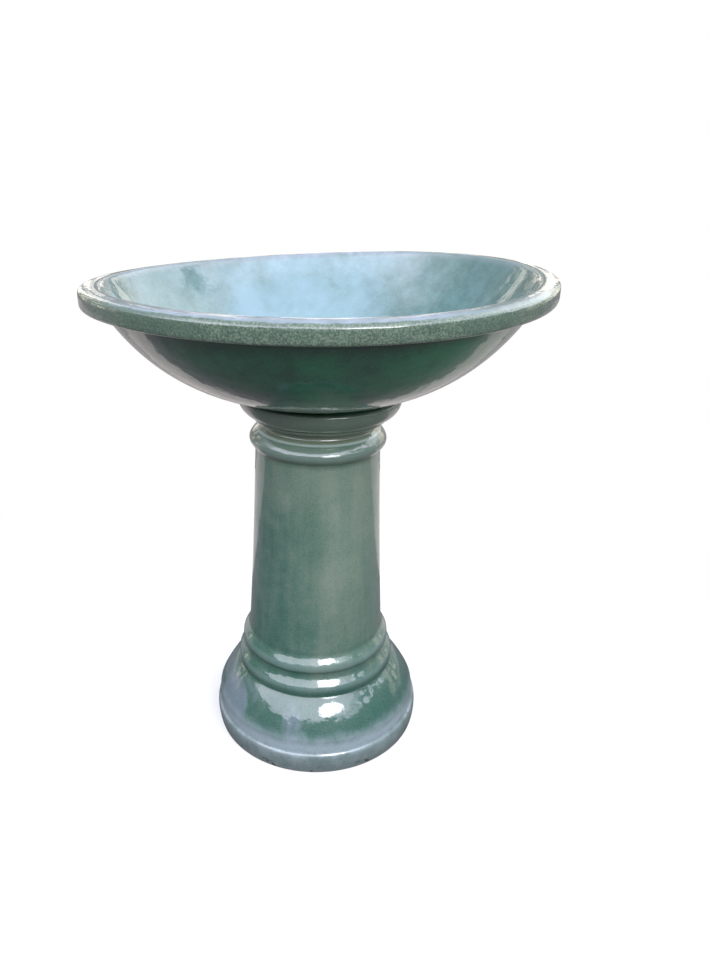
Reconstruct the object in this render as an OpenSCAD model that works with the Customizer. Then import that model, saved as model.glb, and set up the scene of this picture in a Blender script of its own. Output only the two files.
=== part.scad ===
// Two-piece glazed stoneware bird bath: a wide bowl whose foot ring sits in the
// socket at the top of a hollow pedestal, on three small bumper pads.
// Millimetres, +Z up, origin at the centre of the pedestal's foot, on the ground.
// Each piece is one closed outline of [radius, height] points turned about Z.

/* [Overall] */
// Height from the ground to the top of the bowl's rim
overall_h = 612; // [580:1:640]
// Wall thickness of the stoneware
wall = 11; // [9:0.5:14]

/* [Bowl] */
// Diameter over the bowl's rim band
bowl_d = 520; // [490:1:560]
// Height of the rim band, from its lower edge to the crown
rim_h = 20; // [16:0.5:26]
// How far the rim band overhangs the body of the bowl
rim_overhang = 19; // [14:1:24]
// Outer diameter of the foot ring under the bowl
foot_d = 176; // [164:1:180]
// Width of the foot ring's flat underside
foot_w = 14; // [12:1:18]
// Depth to which the middle of the foot is hollowed
foot_hollow = 3; // [2:0.5:4]

/* [Pedestal top] */
// Height above the ground of the ledge that carries the bowl
seat_z = 456; // [446:1:462]
// Depth of the socket above that ledge
socket_depth = 8; // [5:0.5:10]
// Radial play between the bowl's foot ring and the socket
socket_play = 3; // [1:0.5:4]
// Outer diameter of the lip around the socket
lip_d = 197; // [194:1:206]
// Height of the cupped lip, from its small ring to its rim
lip_h = 24; // [20:1:28]
// Outer diameter of the small ring under the lip
lip_ring_d = 165; // [160:1:168]
// Height of that ring
lip_ring_h = 4.5; // [3.5:0.5:6]
// Diameter at the bottom of the neck groove
neck_d = 140; // [134:1:146]
// Outer diameter of the large bead under the neck groove
bead_d = 168.4; // [164:0.2:176]
// Height of the large bead
bead_h = 27; // [25:1:32]

/* [Shaft] */
// Diameter at the top of the shaft
shaft_top_d = 154; // [146:1:160]
// Diameter at the foot of the shaft
shaft_foot_d = 178; // [170:1:184]
// Height above the ground of the foot of the shaft
shaft_foot_z = 146; // [144:1:150]

/* [Base] */
// Diameter of the plinth on the ground, at its widest
plinth_d = 278; // [264:1:300]
// Height of the plinth's upright side
plinth_h = 28; // [24:1:32]
// Height of the sloping shoulder above the plinth's side
shoulder_h = 19; // [15:1:22]
// Radius of the groove between the bell and the lower ring
bell_top_r = 103; // [100:1:106]
// Height above the ground of that groove
bell_top_z = 93; // [90:1:98]
// Radius of the lower ring, at its widest
low_ring_r = 104.5; // [103:0.5:107]
// Radius of the upper ring, at its widest
high_ring_r = 98; // [96:0.5:100]
// Radius of the groove between the two rings
ring_gap_r = 94; // [92:0.5:95]

/* [Seat pads] */
// Diameter of each bumper pad
pad_d = 12; // [8:1:14]
// Thickness of each bumper pad
pad_h = 2; // [1:0.5:3]

/* [Hidden] */
$fn = 180;
pad_count = 3;

// Glaze and pad colours
bowl_colour = "#6fa79c";
pedestal_colour = "#587f74";
pad_colour = "#cfd6d4";

// Bowl
bowl_r = bowl_d / 2;
foot_r = foot_d / 2;
foot_z = seat_z + pad_h;
foot_edge = 2;
body_r = bowl_r - rim_overhang;
rim_z = overall_h - rim_h;
rim_edge = 3.5;
crown_in = 13;
crown_r = bowl_r - crown_in;
inner_edge = 3;
body_slope = [30, 53];
body_turn_r = 153;
body_low_z = foot_z + foot_hollow + 1;
body = [[body_r, rim_z], [body_r, rim_z] - body_slope, [body_turn_r, body_low_z], [0, body_low_z]];

// Top of the pedestal
lip_r = lip_d / 2;
lip_z = seat_z + socket_depth;
lip_edge = 3;
socket_r = foot_r + socket_play;
neck_r = neck_d / 2;
lip_ring_r = lip_ring_d / 2;
lip_ring_z = lip_z - lip_h;
neck_cove = 3.5;
neck_h = 6;
neck_z = lip_ring_z - lip_ring_h - neck_cove;
bead_z = neck_z - neck_h;
bead_r = bead_d / 2;
bead_low_h = 10.5;
throat_r = neck_r - wall;

// Shaft
shaft_top_r = shaft_top_d / 2;
shaft_top_z = bead_z - bead_h;
shaft_foot_r = shaft_foot_d / 2;
shaft_hollow = 1;

// Base
plinth_r = plinth_d / 2;
plinth_foot_r = plinth_r - 2;
plinth_edge = 2;
shoulder_in = 5;
shoulder_z = plinth_h + shoulder_h;
shoulder_r = plinth_r - shoulder_in;
ring_gap_z = 121;
low_ring_z = 102;
high_ring_z = 128;

// Points along an elliptical arc about c, from angle a0 to a1 in degrees
function arc(c, rx, rz, a0, a1, n = 6) =
    [for (i = [0 : n]) let (a = a0 + (a1 - a0) * i / n) c + [rx * cos(a), rz * sin(a)]];

// The point at t, from 0 to 1, on the cubic curve with control points p
function cubic_at(p, t) =
    let (s = 1 - t) s * s * s * p[0] + 3 * s * s * t * p[1] + 3 * s * t * t * p[2] + t * t * t * p[3];

// The direction of that curve at t
function cubic_way(p, t) =
    let (s = 1 - t) s * s * (p[1] - p[0]) + 2 * s * t * (p[2] - p[1]) + t * t * (p[3] - p[2]);

// Points along the curve, moved to its right by the distance d
function cubic(p, n = 10, d = 0, t0 = 0, t1 = 1) =
    [for (i = [0 : n]) let (t = t0 + (t1 - t0) * i / n, way = cubic_way(p, t))
        cubic_at(p, t) + d * [way[1], -way[0]] / norm(way)];

// The t at which a falling curve passes the radius r
function cubic_t(p, r, lo = 0, hi = 1, n = 20) =
    n == 0 ? (lo + hi) / 2
           : let (mid = (lo + hi) / 2)
             cubic_at(p, mid)[0] > r ? cubic_t(p, r, mid, hi, n - 1) : cubic_t(p, r, lo, mid, n - 1);

/* Bowl: foot ring, deep dish and a flat rim band with a crowned top */

function bowl_foot() = concat(
    [[0, foot_z + foot_hollow], [foot_r - foot_w - 3, foot_z + foot_hollow]],
    [[foot_r - foot_w, foot_z]],
    arc([foot_r - foot_edge, foot_z + foot_edge], foot_edge, foot_edge, -90, 0, 4)
);

function bowl_side() =
    let (t_foot = cubic_t(body, foot_r + 2))
    concat([[foot_r, cubic_at(body, t_foot)[1] - 2]], cubic(body, 24, 0, t_foot, 0));

function bowl_rim() = concat(
    arc([bowl_r - rim_edge, rim_z + rim_edge], rim_edge, rim_edge, -90, 0, 5),
    cubic([[bowl_r, overall_h - 6], [bowl_r, overall_h - 1.5],
           [bowl_r - 4, overall_h], [crown_r, overall_h]])
);

function bowl_dish() =
    let (wall_top = cubic(body, 1, wall)[0],
         brim = wall_top + body_slope * (overall_h - inner_edge - wall_top[1]) / body_slope[1])
    concat(
        cubic([[brim[0] + 5, overall_h], [brim[0] + 3, overall_h],
               brim + body_slope * 0.04, brim], 6),
        cubic(body, 28, wall)
    );

module bowl() {
    color(bowl_colour)
    rotate_extrude()
    polygon(concat(bowl_foot(), bowl_side(), bowl_rim(), bowl_dish()));
}

/* Pedestal: plinth, bell, two rings, tapered shaft, bead, neck and cupped lip */

function plinth_side() = concat(
    arc([plinth_foot_r - plinth_edge, plinth_edge], plinth_edge, plinth_edge, -90, 0, 4),
    cubic([[plinth_foot_r, plinth_edge + 1], [plinth_r, plinth_h * 0.4],
           [plinth_r + 1, plinth_h - 4], [plinth_r - 1.5, plinth_h]], 8)
);

function bell_side() =
    let (foot = [shoulder_r - 0.5, shoulder_z + 2], top = [bell_top_r, bell_top_z])
    concat(
        cubic([[plinth_r - 2, plinth_h + 0.3], [plinth_r - 5, plinth_h + 1.5],
               [shoulder_r + 0.5, shoulder_z - 12], [shoulder_r, shoulder_z]], 8),
        cubic([foot, foot + [-8, 16], top + [12, -11], top], 12)
    );

function rings_side() =
    let (gap = [ring_gap_r, ring_gap_z], shaft_foot = [shaft_foot_r, shaft_foot_z])
    concat(
        cubic([[bell_top_r, bell_top_z + 1], [bell_top_r + 1.5, bell_top_z + 3],
               [low_ring_r, low_ring_z - 3], [low_ring_r, low_ring_z]], 6),
        cubic([[low_ring_r, low_ring_z + 0.3], [low_ring_r, low_ring_z + 7],
               gap + [3.4, -10.6], gap + [0.4, -0.5]], 12),
        cubic([gap, gap + [0.5, 2], [high_ring_r, high_ring_z - 3], [high_ring_r, high_ring_z]], 6),
        cubic([[high_ring_r, high_ring_z + 0.3], [high_ring_r, high_ring_z + 8],
               shaft_foot + [6, -11.3], shaft_foot], 14)
    );

function shaft_side() =
    [for (i = [1 : 9]) let (t = i / 10)
        [shaft_foot_r + (shaft_top_r - shaft_foot_r) * t - shaft_hollow * 4 * t * (1 - t),
         shaft_foot_z + (shaft_top_z - shaft_foot_z) * t]];

function top_side() =
    let (bead_mid_z = bead_z - bead_h + bead_low_h, bead_top = [neck_r, bead_z],
         ring = [lip_ring_r, lip_ring_z])
    concat(
        cubic([[shaft_top_r, shaft_top_z], [shaft_top_r + 5.5, shaft_top_z + 3],
               [bead_r, bead_mid_z - 3.5], [bead_r, bead_mid_z]], 8),
        cubic([[bead_r, bead_mid_z + 0.5], [bead_r, bead_mid_z + 3],
               bead_top + [8, -4], bead_top], 12),
        [[neck_r, neck_z]],
        cubic([ring + [-1.5, -lip_ring_h], ring + [0.7, -lip_ring_h],
               ring + [0.7, -0.5], ring + [-0.5, 0]], 6),
        cubic([ring + [-0.5, 0.3], ring + [5.5, 0],
               [lip_r, lip_z - 16], [lip_r, lip_z - lip_edge]], 14),
        arc([lip_r - lip_edge, lip_z - lip_edge], lip_edge, lip_edge, 15, 90, 4)
    );

function pedestal_inside() =
    let (bell_r = shoulder_r - wall, ring_r = shaft_foot_r - wall)
    concat(
        [[socket_r + 1.5, lip_z], [socket_r, lip_z - 1.5], [socket_r, seat_z]],
        arc([throat_r + 5, seat_z - 6], 5, 6, 90, 180, 5),
        [[throat_r, bead_z - bead_h / 2], [shaft_top_r - wall, shaft_top_z]],
        cubic([[ring_r, shaft_foot_z], [ring_r + 3, shaft_foot_z - 30],
               [bell_r - 8, bell_top_z - 30], [bell_r, plinth_h]], 14),
        [[bell_r, 0]]
    );

module pedestal() {
    color(pedestal_colour)
    rotate_extrude()
    polygon(concat(plinth_side(), bell_side(), rings_side(), shaft_side(), top_side(),
                   pedestal_inside()));
}

/* Seat pads: clear bumpers on the ledge, evenly spaced under the bowl's foot ring */

module seat_pad(index) {
    color(pad_colour)
    rotate([0, 0, 90 + 360 / pad_count * index])
    translate([foot_r - foot_w / 2, 0, seat_z])
    cylinder(d = pad_d, h = pad_h, $fn = 48);
}

bowl();
pedestal();
seat_pad(1);  // seat_pad_1
seat_pad(2);  // seat_pad_2
seat_pad(3);  // seat_pad_3
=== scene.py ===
"""Looks of a two-piece glazed stoneware bird bath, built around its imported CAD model.

The bowl and the pedestal are turned again from their CAD outlines, with softened edges, the
slight unevenness of hand-made stoneware and a reactive green-blue glaze."""

import math

import bpy
import numpy as np
from mathutils import Matrix, Vector


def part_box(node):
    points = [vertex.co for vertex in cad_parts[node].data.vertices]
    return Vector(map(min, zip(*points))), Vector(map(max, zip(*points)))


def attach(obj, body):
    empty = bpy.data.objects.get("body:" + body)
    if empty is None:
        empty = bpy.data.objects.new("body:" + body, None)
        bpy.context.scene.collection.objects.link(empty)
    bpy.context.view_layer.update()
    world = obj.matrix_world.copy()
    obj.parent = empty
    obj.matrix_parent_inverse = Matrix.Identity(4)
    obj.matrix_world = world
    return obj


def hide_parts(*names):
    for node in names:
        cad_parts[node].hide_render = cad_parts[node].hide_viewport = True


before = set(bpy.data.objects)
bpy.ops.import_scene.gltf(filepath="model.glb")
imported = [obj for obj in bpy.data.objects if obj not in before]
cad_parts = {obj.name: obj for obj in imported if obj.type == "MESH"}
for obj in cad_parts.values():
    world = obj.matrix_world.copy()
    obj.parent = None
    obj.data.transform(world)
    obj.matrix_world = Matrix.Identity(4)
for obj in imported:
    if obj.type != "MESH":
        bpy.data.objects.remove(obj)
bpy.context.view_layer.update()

MM = 0.001


# ---------------------------------------------------------------- camera

FOCAL_SHARE = 0.7516           # focal length as a share of the picture's long side
EYE = Vector((0.0, -0.840, 0.710))
PITCH = math.radians(23.46)    # downwards
YAW = math.radians(3.0)        # to the right
ROLL = math.radians(2.0)


def add_camera():
    data = bpy.data.cameras.new("camera")
    data.sensor_width = 36.0
    data.lens = FOCAL_SHARE * data.sensor_width
    data.clip_start, data.clip_end = 0.05, 50.0
    camera = bpy.data.objects.new("camera", data)
    turn = (Matrix.Rotation(-YAW, 4, "Z") @ Matrix.Rotation(math.pi / 2 - PITCH, 4, "X")
            @ Matrix.Rotation(ROLL, 4, "Z"))
    camera.matrix_world = Matrix.Translation(EYE) @ turn
    bpy.context.scene.collection.objects.link(camera)
    bpy.context.scene.camera = camera


# ---------------------------------------------------------------- outlines

ON_AXIS = 0.001 * MM           # anything nearer than this lies on the axis or the plane
OUTLINE_STEP = 0.25 * MM       # between the close points that an outline is smoothed on
TURN_PER_POINT = 0.16          # radians that an outline turns between two of its kept points
SPACING_REACH = 8              # steps to each side over which the kept points' spacing is averaged


def cad_outline(node):
    """The node's turned outline, in order, as [radius, height] rows, read from its mesh's XZ edges."""
    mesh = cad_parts[node].data
    place = {v.index: (round(v.co.x, 5), round(v.co.z, 5)) for v in mesh.vertices
             if abs(v.co.y) < ON_AXIS and v.co.x > -ON_AXIS}
    links = {}
    for edge in mesh.edges:
        a, b = (place.get(i) for i in edge.vertices)
        if a and b and a != b:
            links.setdefault(a, set()).add(b)
            links.setdefault(b, set()).add(a)
    ends = sorted((p for p in links if len(links[p]) == 1), key=lambda p: p[1])
    path = [ends[0] if ends else min(links, key=lambda p: (p[1], -p[0]))]
    while True:
        onward = [p for p in links[path[-1]] if p not in path]
        if not onward:
            return np.array(path)
        path.append(max(onward, key=lambda p: p[1]))


def line_length(points):
    """The distance along the line to each of its points."""
    return np.concatenate(([0], np.cumsum(np.hypot(*np.diff(points, axis=0).T))))


def along_line(points, distance, at):
    """The line's places at the given distances along it."""
    return np.column_stack([np.interp(at, distance, points[:, i]) for i in (0, 1)])


def blur(points, step, width, closed):
    """The line smoothed by a bell-shaped filter of that width. Open ends are kept where they are."""
    reach = int(3 * width / step) + 1
    weights = np.exp(-0.5 * (np.arange(-reach, reach + 1) * step / width) ** 2)
    weights /= weights.sum()
    if closed:
        padded = np.vstack([points[-reach:], points, points[:reach]])
    else:
        padded = np.vstack([2 * points[0] - points[reach:0:-1], points,
                            2 * points[-1] - points[-2:-reach - 2:-1]])
    return np.column_stack([np.convolve(padded[:, i], weights, "valid") for i in (0, 1)])


def soft_outline(points, closed, edge=1.1 * MM, hollow=7 * MM, fine=1.0 * MM, coarse=4.5 * MM):
    """The outline as glaze rounds it, with points close together where it turns.

    Gives the points, and how proud of its surroundings each one stands: above 0 on an edge or
    a bead, below 0 in a groove."""
    if closed:
        points = np.vstack([points, points[:1]])
    distance = line_length(points)
    step = distance[-1] / int(distance[-1] / OUTLINE_STEP)
    dense = along_line(points, distance, np.arange(0, distance[-1] - step / 2, step))
    if not closed:
        dense = np.vstack([dense, points[-1]])
    smooth = blur(dense, step, edge, closed)
    wide = blur(smooth, step, hollow, closed)
    way = np.gradient(smooth, axis=0)
    way /= np.hypot(*way.T)[:, None]
    proud = ((smooth - wide) * np.column_stack([way[:, 1], -way[:, 0]])).sum(1)
    turn = np.hypot(*np.gradient(way, axis=0).T) / step
    spacing = np.clip(TURN_PER_POINT / np.maximum(turn, 1e-6), fine, coarse)
    window = 2 * SPACING_REACH + 1
    spacing = np.convolve(np.pad(spacing, SPACING_REACH, "edge"), np.ones(window) / window, "valid")
    density = np.concatenate(([0], np.cumsum(1 / spacing[1:]) * step))
    count = int(density[-1]) + 1
    picked = np.interp(np.linspace(0, density[-1], count + 1), density, np.arange(len(smooth)))
    if closed:
        picked = picked[:-1]
    index = np.arange(len(smooth))
    return along_line(smooth, index, picked), np.interp(picked, index, proud)


# ---------------------------------------------------------------- turned pieces

def ripple(angle, height, waves, seed):
    """A smooth unevenness round a pot, about -1 to 1: waves round the circle that lean with height."""
    draw = np.random.default_rng(seed)
    total = 0
    for turns in waves:
        phase, lean = draw.uniform(0, 2 * math.pi), draw.uniform(-12, 12)
        total = total + np.cos(turns * angle + phase + lean * height) / len(waves)
    return total


def turned(name, outline, closed, shape, facts, segments):
    """A mesh turned about Z from an outline. shape moves its points, and facts are per outline point."""
    angle = np.arange(segments) * 2 * math.pi / segments
    radius, height = (np.repeat(outline[:, i:i + 1], segments, axis=1) for i in (0, 1))
    angle = np.repeat(angle[None, :], len(outline), axis=0)
    points = np.stack(shape(radius, height, angle), axis=-1)
    verts, first = [], []
    for row, (r, _) in enumerate(outline):
        first.append(len(verts))
        verts.extend(points[row] if r > ON_AXIS else [points[row].mean(axis=0)])
    faces = []
    rows = len(outline)
    for row in range(rows if closed else rows - 1):
        low, high = first[row], first[(row + 1) % rows]
        low_step, high_step = (int(outline[i % rows][0] > ON_AXIS) for i in (row, row + 1))
        for j in range(segments):
            k = (j + 1) % segments
            corners = [low + j * low_step, low + k * low_step, high + k * high_step, high + j * high_step]
            faces.append(tuple(dict.fromkeys(corners)))
    mesh = bpy.data.meshes.new(name)
    mesh.from_pydata([tuple(v) for v in verts], [], faces)
    mesh.polygons.foreach_set("use_smooth", [True] * len(faces))
    counts = [segments if r > ON_AXIS else 1 for r in outline[:, 0]]
    for fact, values in facts.items():
        layer = mesh.attributes.new(fact, "FLOAT", "POINT")
        layer.data.foreach_set("value", np.repeat(values, counts).astype(np.float32))
    mesh.update()
    piece = bpy.data.objects.new(name, mesh)
    bpy.context.scene.collection.objects.link(piece)
    return piece


def smoothstep(low, high, x):
    """0 at low and beyond it, 1 at high and beyond it, and smooth between. low may be the larger."""
    t = np.clip((x - low) / (high - low), 0, 1)
    return t * t * (3 - 2 * t)


# The bowl leans and is a little warped: its rim sinks towards -X, and twists. At every angle the
# lean, nod, twist and oval come to less than the drop, so the rim stays inside the CAD box.
RIM_DROP = 14.4 * MM
RIM_LEAN = 11.4 * MM
RIM_NOD = 0.3 * MM
RIM_TWIST = 2.9 * MM
RIM_OVAL = 1.7 * MM
TILT_BORDER = (98 * MM, 130 * MM)    # radii between which the level middle turns into the tilted dish
FOOT_INSIDE_R = 80 * MM              # the foot ring's inside, where the clay is left bare
FOOT_BARE = (1.2 * MM, 3.0 * MM)     # the glaze stops between these heights on the foot ring
BOWL_WOBBLE = 0.3 * MM
WOBBLE_BORDER = (95 * MM, 140 * MM)  # radii over which the wobble grows
FINGER_PITCH = 8.5 * MM              # the faint rings in the dish that the potter's fingers left
FINGER_DEPTH = 0.16 * MM
FINGER_BORDER = (15 * MM, 40 * MM)   # distances from the rim's crown over which they grow


def make_bowl():
    low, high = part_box("bowl")
    outline = cad_outline("bowl")
    outline = np.vstack([[0, outline[0][1]], outline])
    outline, proud = soft_outline(outline, closed=False)
    rim_r = high.x
    top = int(np.argmax(outline[:, 1]))
    crown = line_length(outline)
    crown = crown - crown[top]
    bare = (smoothstep(FOOT_BARE[1], FOOT_BARE[0], outline[:, 1] - low.z)
            + (outline[:, 0] < FOOT_INSIDE_R) * (crown < 0)).clip(0, 1)

    def shape(r, z, a):
        lift = r / rim_r * smoothstep(*TILT_BORDER, r)
        rings = FINGER_DEPTH * np.sin(2 * math.pi * (crown[:, None] / FINGER_PITCH) + a)
        rings = rings * smoothstep(*FINGER_BORDER, crown)[:, None]
        # The wobble is nearly all inwards, so that the piece stays inside the CAD box.
        wobble = BOWL_WOBBLE * (ripple(a, z, (2, 3, 5, 9), 4) - 0.8) * smoothstep(*WOBBLE_BORDER, r)
        out = r + wobble + rings * 0.5
        sag = (RIM_DROP - RIM_LEAN * np.cos(a) - RIM_NOD * np.sin(a)
               - RIM_TWIST * np.sin(2 * a) - RIM_OVAL * np.cos(2 * a))
        up = z + rings * 0.8 - sag * lift
        return out * np.cos(a), out * np.sin(a), up

    facts = {"proud": proud / MM, "crown": crown, "bare": bare}
    piece = turned("glazed_bowl", outline, closed=False, shape=shape, facts=facts, segments=384)
    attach(piece, "bowl")
    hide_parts("bowl")
    return piece


# The pedestal was thrown a little off centre: its foot lies to +X and its shaft to -X.
FOOT_SHIFT = 1.8 * MM
SHAFT_SHIFT = -2.0 * MM
FOOT_SHIFTED = (0, 60 * MM)             # the foot's shift fades out between these heights,
SHAFT_LOW_END = (60 * MM, 125 * MM)     # the shaft's grows between these,
SHAFT_HIGH_END = (400 * MM, 450 * MM)   # and it fades out between these
PLINTH_BARE = (0.6 * MM, 2.0 * MM)      # the glaze stops between these heights
LIP_BARE = 6 * MM                       # how far it runs on over the lip and into the seat
PEDESTAL_WOBBLE = 0.35 * MM
WOBBLE_GROWS = (0, 30 * MM)             # the wobble grows between these heights,
WOBBLE_CALMS = (440 * MM, 460 * MM)     # and becomes slight between these


def make_pedestal():
    outline, proud = soft_outline(cad_outline("pedestal"), closed=True)
    distance = line_length(outline)
    lip = int(np.argmax(outline[:, 1]))
    within = np.arange(len(outline)) > lip
    bare = np.where(within, smoothstep(0, LIP_BARE, distance - distance[lip]),
                    smoothstep(PLINTH_BARE[1], PLINTH_BARE[0], outline[:, 1]))

    def shape(r, z, a):
        wobble = PEDESTAL_WOBBLE * (ripple(a, z, (2, 3, 4, 7), 9) - 1) * smoothstep(*WOBBLE_GROWS, z)
        out = r + wobble * (1 - 0.8 * smoothstep(*WOBBLE_CALMS, z))
        foot = smoothstep(FOOT_SHIFTED[1], FOOT_SHIFTED[0], z)
        shaft = smoothstep(*SHAFT_LOW_END, z) * smoothstep(SHAFT_HIGH_END[1], SHAFT_HIGH_END[0], z)
        shift = FOOT_SHIFT * foot + SHAFT_SHIFT * shaft
        return out * np.cos(a) + shift, out * np.sin(a), z

    facts = {"proud": proud / MM, "bare": bare}
    piece = turned("glazed_pedestal", outline, closed=True, shape=shape, facts=facts, segments=320)
    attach(piece, "pedestal")
    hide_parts("pedestal")
    return piece


def make_pads():
    """Small flat silicone bumpers with rounded edges, in place of the plain discs."""
    edge, inset, bevel_in, bevel_up = 0.7 * MM, 0.5 * MM, 0.2 * MM, 0.3 * MM
    arc = np.linspace(0, math.pi / 2, 7)
    pads = []
    for node in sorted(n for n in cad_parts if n.startswith("seat_pad")):
        low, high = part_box(node)
        centre, radius, tall = (low + high) / 2, (high.x - low.x) / 2, high.z - low.z
        side = np.column_stack([radius - edge * (1 - np.cos(arc)), low.z + tall - edge * (1 - np.sin(arc))])
        face = np.column_stack([np.linspace(radius - edge - inset, 0, 8), np.full(8, high.z)])
        base = [[0, low.z], [radius / 2, low.z], [radius - bevel_in, low.z], [radius, low.z + bevel_up]]

        def shape(r, z, a):
            return centre.x + r * np.cos(a), centre.y + r * np.sin(a), z

        piece = turned("bumper_" + node[-1], np.vstack([base, side, face]), closed=False, shape=shape,
                       facts={}, segments=48)
        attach(piece, "pedestal")
        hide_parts(node)
        pads.append(piece)
    return pads


# ---------------------------------------------------------------- node helpers

class Graph:
    """A short way to write a node tree. A value given to an input is either a number, a colour
    or another node's output."""

    def __init__(self, tree):
        self.tree = tree

    def node(self, kind, inputs=(), output=0, **settings):
        made = self.tree.nodes.new("ShaderNode" + kind)
        for key, value in settings.items():
            setattr(made, key, value)
        for key, value in dict(inputs).items():
            self.feed(made, key, value)
        return made.outputs[output]

    def feed(self, made, key, value):
        if isinstance(value, bpy.types.NodeSocket):
            self.tree.links.new(value, made.inputs[key])
        else:
            made.inputs[key].default_value = value

    def xyz(self, vector):
        """The vector's three parts."""
        made = self.tree.nodes.new("ShaderNodeSeparateXYZ")
        self.feed(made, 0, vector)
        return tuple(made.outputs)

    def math(self, operation, a, b=0.0, c=0.0, clamp=False):
        return self.node("Math", {0: a, 1: b, 2: c}, operation=operation, use_clamp=clamp)

    def spread(self, value, low, high, to_low=0.0, to_high=1.0):
        """value taken smoothly from the range low..high to the range to_low..to_high."""
        return self.node("MapRange", {"Value": value, "From Min": low, "From Max": high,
                                      "To Min": to_low, "To Max": to_high},
                         interpolation_type="SMOOTHSTEP")

    def above(self, value, border, most=1.0):
        """0 below the border and most above it. A border is the range over which it changes."""
        return self.spread(value, border[0], border[1], 0.0, most)

    def below(self, value, border, most=1.0):
        """most below the border and 0 above it."""
        return self.spread(value, border[1], border[0], 0.0, most)

    def between(self, value, low_border, high_border):
        """1 above the low border and below the high one."""
        return self.math("MULTIPLY", self.above(value, low_border), self.below(value, high_border))

    def shaken(self, value, noise, width):
        """value moved to and fro by a noise, over that width in all."""
        return self.math("ADD", value, self.math("MULTIPLY_ADD", noise, width, -width / 2))

    def mix(self, share, a, b):
        return self.node("Mix", {0: share, 6: a, 7: b}, output=2, data_type="RGBA")

    def mix_value(self, share, a, b):
        return self.node("Mix", {0: share, 2: a, 3: b}, output=0, data_type="FLOAT")

    def place(self, scale=(1, 1, 1)):
        """Where a point lies on the piece, in metres, stretched by a scale."""
        return self.node("Mapping", {"Vector": self.node("TexCoord", output="Object"), "Scale": scale})

    def noise(self, where, scale, detail=3.0, roughness=0.5, distortion=0.0):
        return self.node("TexNoise", {"Vector": where, "Scale": scale, "Detail": detail,
                                      "Roughness": roughness, "Distortion": distortion})

    def ramp(self, value, stops):
        made = self.tree.nodes.new("ShaderNodeValToRGB")
        self.feed(made, "Fac", value)
        colours = made.color_ramp.elements
        while len(colours) < len(stops):
            colours.new(0.5)
        for element, (position, colour) in zip(colours, stops):
            element.position, element.color = position, colour
        return made.outputs[0]


class Material(Graph):
    """The nodes of a new material."""

    def __init__(self, name):
        self.material = bpy.data.materials.new(name)
        self.material.use_nodes = True
        super().__init__(self.material.node_tree)
        self.shader = self.tree.nodes["Principled BSDF"]

    def set(self, **values):
        for key, value in values.items():
            self.feed(self.shader, key.replace("_", " "), value)

    def fact(self, name):
        """One of the facts that turned() keeps for each point of the mesh."""
        return self.node("Attribute", output="Fac", attribute_name=name)


def tone(red, green, blue):
    """A colour given as it looks on a screen, from 0 to 255, as a shader's linear colour."""
    def linear(c):
        c /= 255
        return c / 12.92 if c <= 0.04045 else ((c + 0.055) / 1.055) ** 2.4
    return tuple(linear(c) for c in (red, green, blue)) + (1.0,)


# ---------------------------------------------------------------- glaze

def clay_colour(g, where):
    """Bare stoneware: warm grey-buff with darker grog."""
    cloud = g.noise(where, 25, 4)
    grog = g.spread(g.noise(where, 900, 1), 0.60, 0.70)
    body = g.ramp(cloud, [(0.35, tone(142, 122, 104)), (0.65, tone(172, 153, 133))])
    return g.mix(g.math("MULTIPLY", grog, 0.5), body, tone(84, 70, 60))


def glaze_layers(g, where):
    """The noises that every glazed zone shares: slow clouds and fine mottling."""
    cloud = g.noise(where, scale=9, detail=4, roughness=0.55, distortion=0.6)
    mottle = g.noise(where, scale=60, detail=4, roughness=0.6)
    return cloud, mottle


def finish_glaze(g, where, colour, bare, grain):
    """Sets a glaze's colour, gloss and surface, with bare clay where the glaze stops.

    A sharp clear coat lies over a softer sheen, and both follow the hand-finished surface:
    slow waves, finer dimples, and the grain of the mottling."""
    g.set(Base_Color=g.mix(bare, colour, clay_colour(g, where)))
    sheen = g.spread(g.noise(where, 40, 3), 0.3, 0.7, 0.36, 0.48)
    g.set(Roughness=g.mix_value(bare, sheen, 0.85))
    g.set(Specular_IOR_Level=0.3, IOR=1.5, Coat_Roughness=0.05, Coat_IOR=1.7)
    g.set(Coat_Weight=g.math("SUBTRACT", 1.0, bare, clamp=True))
    waves = g.node("Bump", {"Strength": 1.0, "Distance": 0.7 * MM, "Height": g.noise(where, 34, 2)})
    dimples = g.node("Bump", {"Strength": 1.0, "Distance": 0.22 * MM, "Height": g.noise(where, 120, 3),
                              "Normal": waves})
    g.set(Coat_Normal=dimples)
    g.set(Normal=g.node("Bump", {"Strength": 0.6, "Distance": 0.3 * MM, "Height": grain,
                                 "Normal": dimples}))


# The borders of the bowl's zones of glaze, as distances along the outline from the rim's crown:
# outwards below 0, and into the dish above 0.
UNDER_TO_BAND = (-36 * MM, -30 * MM)
BAND_TO_TOP = (-13 * MM, -10 * MM)
TOP_TO_DISH = (3 * MM, 16 * MM)
BORDER_WIDTH = 6 * MM          # how far the outer two wander to and fro, in all


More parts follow.
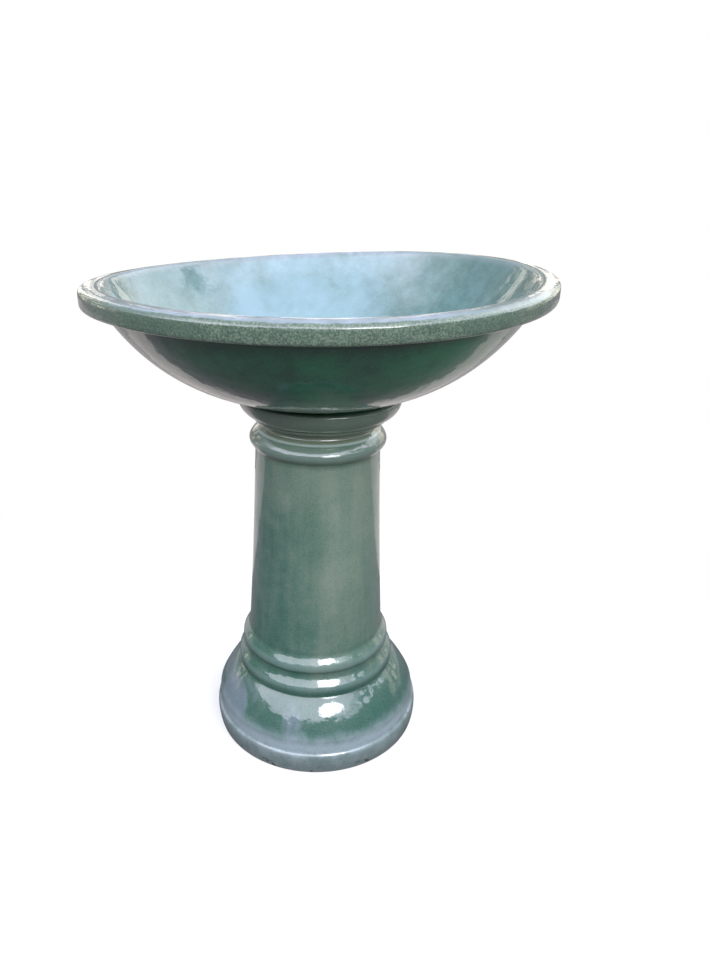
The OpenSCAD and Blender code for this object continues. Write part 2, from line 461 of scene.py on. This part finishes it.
def bowl_glaze():
    """Deep bottle green under the bowl and brighter towards +X, mossy and grainy on the rim band,
    lilac grey on the rim's top, and milky blue in the dish, greener towards its sides: partly the
    glaze's own green, partly painted shade."""
    g = Material("bowl_glaze")
    where = g.place()
    across = g.xyz(where)[0]
    cloud, mottle = glaze_layers(g, where)
    proud, crown, bare = (g.fact(n) for n in ("proud", "crown", "bare"))
    ragged_crown = g.shaken(crown, g.noise(where, 90, 3), BORDER_WIDTH)
    drift = g.math("MULTIPLY_ADD", mottle, 0.4, g.math("MULTIPLY", cloud, 0.6))
    sideways = g.shaken(across, cloud, 0.24)
    grit = g.noise(where, 560, 2, 0.65)
    grain = g.math("MULTIPLY_ADD", grit, 0.8, g.math("MULTIPLY", mottle, 0.2))

    under = g.ramp(drift, [(0.36, tone(10, 62, 46)), (0.62, tone(20, 98, 68))])
    under = g.mix(g.spread(sideways, 0.02, 0.14, 0, 0.5), under, tone(22, 122, 76))
    under = g.mix(g.spread(grit, 0.54, 0.70, 0, 0.35), under, tone(62, 118, 92))

    band = g.ramp(grain, [(0.40, tone(27, 50, 39)), (0.50, tone(60, 90, 70)),
                          (0.62, tone(110, 125, 102))])
    band = g.mix(g.spread(cloud, 0.46, 0.60, 0, 0.5), band, tone(28, 68, 50))

    thin_top = tone(78, 104, 96)
    top = g.ramp(mottle, [(0.35, tone(122, 136, 144)), (0.65, tone(152, 162, 178))])
    top = g.mix(g.spread(sideways, 0.06, 0.18, 0, 0.75), top, thin_top)
    top = g.mix(g.spread(sideways, -0.06, -0.18, 0, 0.4), top, thin_top)

    green = g.ramp(mottle, [(0.30, tone(52, 92, 82)), (0.70, tone(80, 118, 112))])
    dish = g.ramp(drift, [(0.37, tone(104, 138, 138)), (0.46, tone(116, 149, 154)),
                          (0.60, tone(126, 158, 168))])
    # Greener towards both sides of the dish: partly the glaze's own green, partly painted shade for the
    # darker surroundings reflected there.
    dish = g.mix(g.spread(sideways, 0.04, 0.15, 0, 0.88), dish, green)
    dish = g.mix(g.spread(sideways, -0.045, -0.13, 0, 0.68), dish, green)
    dish = g.mix(g.spread(grit, 0.50, 0.72, 0, 0.16), dish, tone(160, 180, 190))

    colour = g.mix(g.above(ragged_crown, UNDER_TO_BAND), under, band)
    colour = g.mix(g.above(ragged_crown, BAND_TO_TOP), colour, top)
    colour = g.mix(g.above(crown, TOP_TO_DISH), colour, dish)
    # Paler on edges: partly the glaze breaking over them, partly a painted highlight along them.
    colour = g.mix(g.spread(proud, 0.25, 1.3, 0, 0.2), colour, tone(136, 152, 140))
    # Much darker in grooves and under the rim band: partly glaze pooled there, partly painted shade.
    colour = g.mix(g.spread(proud, -0.1, -0.8, 0, 0.95), colour, tone(8, 24, 18))
    finish_glaze(g, where, colour, bare, grain)
    return g.material


# The borders of the pedestal's zones of glaze, as heights.
PLINTH_CHIPS = (4 * MM, 14 * MM)
PLINTH_TO_POOL = (24 * MM, 34 * MM)
POOL_TO_BELL = (36 * MM, 60 * MM)
MILKY_TOP = (72 * MM, 94 * MM)
BELL_TOP = (95 * MM, 125 * MM)
SHAFT_LOW = (120 * MM, 170 * MM)
SHAFT_TO_BEAD = (390 * MM, 402 * MM)
BEAD_TOP = (418 * MM, 425 * MM)
BEAD_EDGE_LOW = (420.5 * MM, 421.5 * MM)
BEAD_EDGE_HIGH = (422.5 * MM, 423.5 * MM)
COLLAR_LOW = (421 * MM, 424 * MM)
COLLAR_HIGH = (432 * MM, 436 * MM)
NECK_TO_LIP = (425 * MM, 440 * MM)


def shaft_colour(g, colour, body, cloud, across, rise, height):
    """Paler olive on the shaft's +X side: partly the glaze's own colour, partly painted light from
    the right that stands in for a reflection. Its border leans, and the olive fades downwards and
    again towards the far edge."""
    olive = g.ramp(body, [(0.38, tone(98, 124, 108)), (0.62, tone(128, 144, 126))])
    lean = g.math("MULTIPLY_ADD", rise, 0.22, -0.062)
    side = g.math("ADD", g.shaken(across, cloud, 0.08), lean)
    share = g.between(height, SHAFT_LOW, SHAFT_TO_BEAD)
    share = g.math("MULTIPLY", share, g.spread(rise, 0.16, 0.34, 0.5, 0.95))
    share = g.math("MULTIPLY", share, g.spread(across, 0.074, 0.040, 0.5, 1.0))
    # The olive share: partly glaze colour, partly painted light from the right.
    return g.mix(g.math("MULTIPLY", share, g.spread(side, -0.062, 0.034)), colour, olive)


def neck_colour(g, colour, rise, height):
    """Olive on the bead, the neck and the lip, with the collar painted paler against the shade that
    falls on it, and a painted highlight line along the bead's top edge.
    """
    bead = g.between(height, SHAFT_TO_BEAD, BEAD_TOP)
    colour = g.mix(g.math("MULTIPLY", bead, 0.55), colour, tone(108, 128, 106))
    colour = g.mix(g.above(height, NECK_TO_LIP, 0.7), colour, tone(92, 106, 78))
    # Painted light: the collar is made paler where the bowl and lip shade it.
    collar_painted_light = g.between(rise, COLLAR_LOW, COLLAR_HIGH)
    colour = g.mix(g.math("MULTIPLY", collar_painted_light, 0.8), colour, tone(124, 134, 112))
    # Painted highlight: a thin pale line along the bead's top edge that stands in for a reflection.
    edge = g.between(rise, BEAD_EDGE_LOW, BEAD_EDGE_HIGH)
    return g.mix(g.math("MULTIPLY", edge, 0.6), colour, tone(186, 206, 200))


def bell_colour(g, colour, cloud, height):
    """Deeper green over the bell, with milky patches low down on it."""
    deep = g.math("MULTIPLY", g.below(height, BELL_TOP), g.spread(cloud, 0.40, 0.60, 0.35, 0.8))
    colour = g.mix(deep, colour, tone(34, 82, 72))
    milky = g.math("MULTIPLY", g.below(height, MILKY_TOP), g.spread(cloud, 0.50, 0.40, 0, 0.45))
    return g.mix(milky, colour, tone(138, 144, 164))


def foot_colour(g, colour, mottle, height):
    """Milky glaze pooled above the plinth, and a duller plinth."""
    colour = g.mix(g.below(height, POOL_TO_BELL, 0.9), colour, tone(154, 170, 176))
    plinth = g.ramp(mottle, [(0.35, tone(82, 102, 98)), (0.65, tone(116, 130, 128))])
    return g.mix(g.below(height, PLINTH_TO_POOL, 0.85), colour, plinth)


def pedestal_glaze():
    """Grey-green glaze with slow vertical runs and its own colours on the shaft, bell, neck and
    foot, with painted light mixed into the shaft's paler +X side and the neck's collar. It is
    paler where it stands proud and darker in the grooves, partly from the glaze breaking and
    pooling and partly as painted highlight and shade, and chipped at the plinth."""
    g = Material("pedestal_glaze")
    where = g.place()
    across, _, rise = g.xyz(where)
    cloud, mottle = glaze_layers(g, where)
    proud, bare = g.fact("proud"), g.fact("bare")
    height = g.shaken(rise, mottle, 0.016)

    runs = g.noise(g.place(scale=(1, 1, 0.10)), 34, 4, 0.6)
    body = g.math("MULTIPLY_ADD", runs, 0.45, g.math("MULTIPLY", cloud, 0.35))
    body = g.math("MULTIPLY_ADD", mottle, 0.2, body)
    colour = g.ramp(body, [(0.38, tone(44, 90, 74)), (0.50, tone(72, 106, 92)),
                           (0.62, tone(100, 120, 106))])
    colour = shaft_colour(g, colour, body, cloud, across, rise, height)
    colour = bell_colour(g, colour, cloud, height)
    colour = neck_colour(g, colour, rise, height)
    colour = foot_colour(g, colour, mottle, height)

    fine = g.noise(where, 620, 2, 0.6)
    colour = g.mix(g.spread(fine, 0.50, 0.70, 0, 0.28), colour, tone(116, 132, 120))
    colour = g.mix(g.spread(fine, 0.50, 0.30, 0, 0.28), colour, tone(34, 56, 48))
    # Paler on edges: partly the glaze breaking over them, partly a painted highlight.
    colour = g.mix(g.spread(proud, 0.25, 1.6, 0, 0.35), colour, tone(120, 140, 138))
    # Darker in grooves: partly glaze pooled there, partly painted shade.
    colour = g.mix(g.spread(proud, -0.2, -1.6, 0, 0.3), colour, tone(18, 50, 40))
    chips = g.math("MULTIPLY", g.spread(g.noise(where, 85, 3), 0.58, 0.64),
                   g.below(height, PLINTH_CHIPS))
    colour = g.mix(chips, colour, tone(40, 42, 40))
    speckle = g.noise(where, 300, 2, 0.6)
    grain = g.math("MULTIPLY_ADD", speckle, 0.6, g.math("MULTIPLY", mottle, 0.4))
    finish_glaze(g, where, colour, bare, grain)
    return g.material


def silicone():
    """Cloudy clear silicone with a faint unevenness."""
    g = Material("pad_silicone")
    haze = g.noise(g.place(), 400, 2)
    g.set(Base_Color=g.ramp(haze, [(0.3, tone(196, 204, 203)), (0.7, tone(218, 224, 222))]),
          Roughness=g.spread(haze, 0.3, 0.7, 0.28, 0.42), Subsurface_Weight=0.3)
    return g.material


# ---------------------------------------------------------------- studio

FLOOR_REACH = 12.0
WHITE = (1, 1, 1, 1)


def add_floor():
    """A wide pale floor that turns to plain white away from the object. In the glaze's reflections
    it is a middle grey, with painted shade making it darker in front of the object than behind it."""
    mesh = bpy.data.meshes.new("floor")
    corners = [(-FLOOR_REACH, -FLOOR_REACH, 0), (FLOOR_REACH, -FLOOR_REACH, 0),
               (FLOOR_REACH, FLOOR_REACH, 0), (-FLOOR_REACH, FLOOR_REACH, 0)]
    mesh.from_pydata(corners, [], [(0, 1, 2, 3)])
    floor = bpy.data.objects.new("floor", mesh)
    bpy.context.scene.collection.objects.link(floor)
    g = Material("floor")
    seen = g.node("LightPath", output="Is Camera Ray")
    spot = g.node("TexCoord", output="Object")
    deep = g.xyz(spot)[1]
    # Painted shade: in reflections the floor in front of the object is darker than behind it.
    mirrored = g.mix(g.spread(deep, 0.05, 0.30), tone(92, 91, 90), tone(112, 108, 107))
    g.set(Base_Color=g.mix(seen, mirrored, tone(236, 236, 236)), Roughness=0.9, Specular_IOR_Level=0.0)
    away = g.node("VectorMath", {0: spot}, output="Value", operation="LENGTH")
    plain = g.node("Emission", {"Color": WHITE, "Strength": 1.0})
    share = g.math("MULTIPLY", seen, g.spread(away, 0.14, 0.9, 0.4, 1.0))
    mixed = g.node("MixShader", {0: share, 1: g.shader.outputs[0], 2: plain})
    g.tree.links.new(mixed, g.tree.nodes["Material Output"].inputs["Surface"])
    floor.data.materials.append(g.material)


# The surround's colours, as linear light.
BRIGHT_SKY = (3.6, 3.6, 4.2, 1)
SKY_GAP = (2.5, 2.6, 2.8, 1)
SKY_BEHIND = (0.55, 0.66, 0.80, 1)
EYE_LEVEL = (0.16, 0.17, 0.16, 1)
LOW_LIGHT = (2.0, 1.85, 1.65, 1)
LOW_SHADE = (0.25, 0.24, 0.22, 1)


def add_sky():
    """A soft surround. In front, a bright band from the height of a window sill up, broken to the
    right and dimmed to the left, over a dim eye level. Behind, light between low upright shapes,
    with a brighter gap to the right. It is white wherever the camera sees past the floor. across,
    deep and high are the parts of a direction, from -1 to 1."""
    world = bpy.data.worlds.new("studio")
    world.use_nodes = True
    bpy.context.scene.world = world
    g = Graph(world.node_tree)
    way = g.node("TexCoord", output="Generated")
    across, deep, high = g.xyz(way)

    sill = g.shaken(high, g.noise(way, 4.0, 4), 0.3)
    sill = g.math("MULTIPLY_ADD", g.math("ABSOLUTE", across), 0.06, sill)
    broken = g.math("MULTIPLY", g.spread(across, 0.55, 0.80),
                    g.spread(g.noise(way, 9.0, 3), 0.46, 0.52))
    roof = g.math("MULTIPLY", g.spread(across, -0.58, -0.70), g.spread(deep, -0.16, 0.00, 0, 0.6))
    band = g.math("MULTIPLY", g.spread(sill, 0.40, 0.44), g.spread(high, 0.90, 0.72, 0.3, 1))
    band = g.math("MULTIPLY", band, g.math("SUBTRACT", 1.0, g.math("MAXIMUM", broken, roof)))
    in_front = g.mix(band, EYE_LEVEL, BRIGHT_SKY)

    slits = g.noise(g.node("Mapping", {"Vector": way, "Scale": (1, 1, 0.12)}), 16, 2)
    low_behind = g.mix(g.spread(slits, 0.46, 0.60), LOW_SHADE, LOW_LIGHT)
    behind = g.mix(g.spread(high, 0.28, 0.50), low_behind, SKY_BEHIND)
    gap = g.math("MULTIPLY", g.spread(across, 0.25, 0.50), g.spread(high, 0.26, 0.38))
    behind = g.mix(gap, behind, SKY_GAP)

    around = g.mix(g.spread(deep, 0.45, 0.05), behind, in_front)
    seen = g.node("LightPath", output="Is Camera Ray")
    g.feed(g.tree.nodes["Background"], "Color", g.mix(seen, around, WHITE))


def ragged_edges(data, ragged):
    """Makes a panel light's two long edges uneven, by up to that share of its depth."""
    data.use_nodes = True
    g = Graph(data.node_tree)
    spot = g.node("NewGeometry", output="Parametric")
    cells = g.node("Mapping", {"Vector": spot, "Scale": (50, 9, 1)})
    edge = g.math("ABSOLUTE", g.math("SUBTRACT", g.xyz(spot)[1], 0.5))
    edge = g.math("MULTIPLY_ADD", g.noise(cells, 1.0, 4, 0.6), ragged, edge)
    g.feed(g.tree.nodes["Emission"], "Strength", g.spread(edge, 0.50, 0.48))


def add_light(name, place, aim, size, brightness, colour=(1, 1, 1), shape="RECTANGLE", ragged=0):
    """A soft panel light of a given surface brightness, which the camera doesn't see."""
    data = bpy.data.lights.new(name, "AREA")
    data.shape, data.size, data.size_y = shape, size[0], size[1]
    area = size[0] * size[1] * (math.pi / 4 if shape == "ELLIPSE" else 1)
    data.energy, data.color = brightness * math.pi * area, colour
    if ragged:
        ragged_edges(data, ragged)
    light = bpy.data.objects.new(name, data)
    light.location = place
    light.rotation_euler = (Vector(aim) - Vector(place)).to_track_quat("-Z", "Y").to_euler()
    light.visible_camera = False
    bpy.context.scene.collection.objects.link(light)


WARM = (1.0, 0.93, 0.88)


def add_studio():
    """The floor, the surround, a key panel in front on the right, and two dim warm panels that lie
    just over the floor behind, which show at the glaze's edges and under the bowl."""
    add_floor()
    add_sky()
    add_light("key", place=(0.66, -1.75, 1.28), aim=(0.02, -0.1, 0.2), size=(1.05, 0.55),
              brightness=11, shape="ELLIPSE")
    add_light("near bounce", place=(0, 0.60, 0.003), aim=(0, 0.60, 2), size=(3.0, 0.60),
              brightness=0.5, colour=WARM, ragged=0.14)
    add_light("far bounce", place=(0, 2.10, 0.002), aim=(0, 2.10, 2), size=(5.0, 2.40),
              brightness=0.22, colour=WARM)
    bpy.context.scene.view_settings.view_transform = "Standard"


add_camera()
bowl = make_bowl()
pedestal = make_pedestal()
pads = make_pads()
bowl.data.materials.append(bowl_glaze())
pedestal.data.materials.append(pedestal_glaze())
rubber = silicone()
for pad in pads:
    pad.data.materials.append(rubber)
add_studio()
